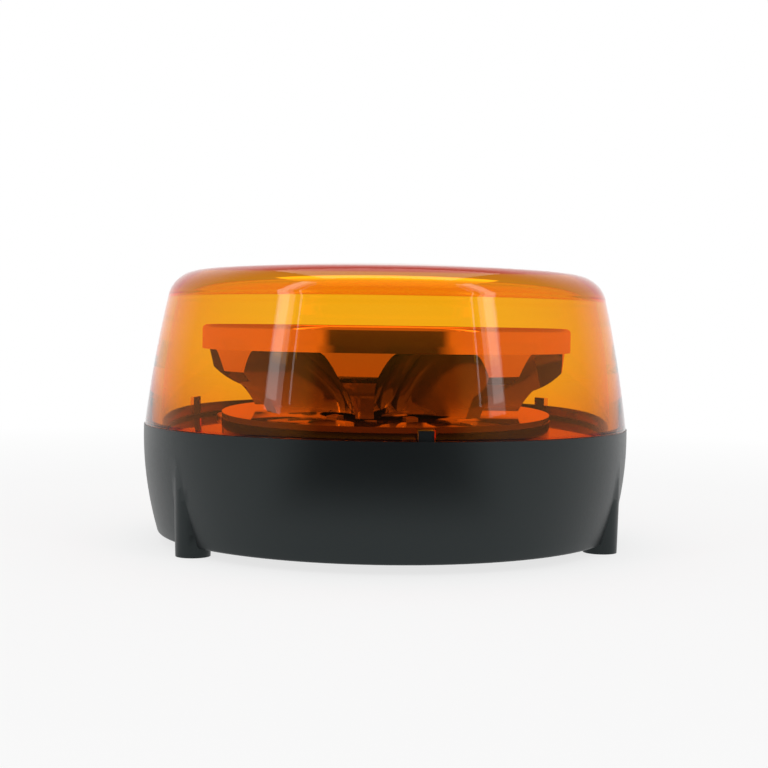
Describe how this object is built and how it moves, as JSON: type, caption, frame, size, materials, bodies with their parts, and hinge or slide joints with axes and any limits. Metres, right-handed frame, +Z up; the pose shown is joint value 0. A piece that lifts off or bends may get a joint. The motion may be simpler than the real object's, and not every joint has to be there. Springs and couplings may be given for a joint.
{
  "type": "rotating beacon",
  "caption": "Low round rotating warning beacon: black moulded base with bolt feet, clear amber dome, chrome crown of concave scoops turned by a small geared motor over a lamp ring.",
  "frame": {"origin": "centre of the plane the three feet stand on, on the beacon's axis", "axes": "+Z up along the axis of rotation, a foot on +Y, a lens key on -Y"},
  "size_m": [0.141, 0.141, 0.0802],
  "materials": {
    "base_plastic": "fine grained moulded black",
    "amber_lens": "polished clear amber moulding",
    "seal_rubber": "soft black",
    "deck_plastic": "satin black",
    "zinc_steel": "zinc plated",
    "spreader_aluminium": "mill finish",
    "white_board": "white solder mask",
    "lamp_package": "yellow phosphor",
    "sinter_bronze": "sintered bronze",
    "bracket_steel": "zinc plated sheet",
    "motor_steel": "plated can",
    "green_board": "green solder mask",
    "capacitor_sleeve": "black sleeve",
    "regulator_epoxy": "moulded epoxy",
    "terminal_plastic": "green moulding",
    "insert_brass": "turned brass",
    "vent_plastic": "black",
    "mirror_chrome": "vacuum metallised mirror",
    "shaft_steel": "ground",
    "spring_steel": "phosphated",
    "washer_plastic": "acetal",
    "gear_plastic": "acetal"
  },
  "bodies": {
    "housing": {"base_housing": "base_plastic", "lens": "amber_lens", "lens_seal": "seal_rubber", "deck_plate": "deck_plastic", "deck_screws": "zinc_steel", "heat_spreader": "spreader_aluminium", "led_board": "white_board", "board_screws": "zinc_steel", "led_packages": "lamp_package", "upper_bush": "sinter_bronze", "lower_bush": "sinter_bronze", "motor_bracket": "bracket_steel", "bracket_spacers": "zinc_steel", "bracket_screws": "zinc_steel", "motor_screws": "zinc_steel", "motor_can": "motor_steel", "driver_board": "green_board", "driver_screws": "zinc_steel", "smoothing_capacitor": "capacitor_sleeve", "voltage_regulator": "regulator_epoxy", "terminal_block": "terminal_plastic", "threaded_inserts": "insert_brass", "cable_grommet": "seal_rubber", "breather_vent": "vent_plastic"},
    "rotor": {"reflector_crown": "mirror_chrome", "rotor_shaft": "shaft_steel", "cap_screw": "zinc_steel", "shaft_clip": "spring_steel", "thrust_washer": "washer_plastic", "rotor_gear": "gear_plastic"},
    "drive": {"motor_shaft": "shaft_steel", "motor_pinion": "insert_brass"}
  },
  "joints": [
    {"name": "rotor_spin", "type": "hinge", "parent": "housing", "child": "rotor", "pos_m": [0, 0, 0.03], "axis": [0, 0, 1], "continuous": true},
    {"name": "pinion_spin", "type": "hinge", "parent": "housing", "child": "drive", "pos_m": [-0.02494, -0.0144, 0.0242], "axis": [0, 0, 1], "continuous": true}
  ],
  "couplings": [
    {"joint": "pinion_spin", "follows": "rotor_spin", "ratio": -5}
  ]
}
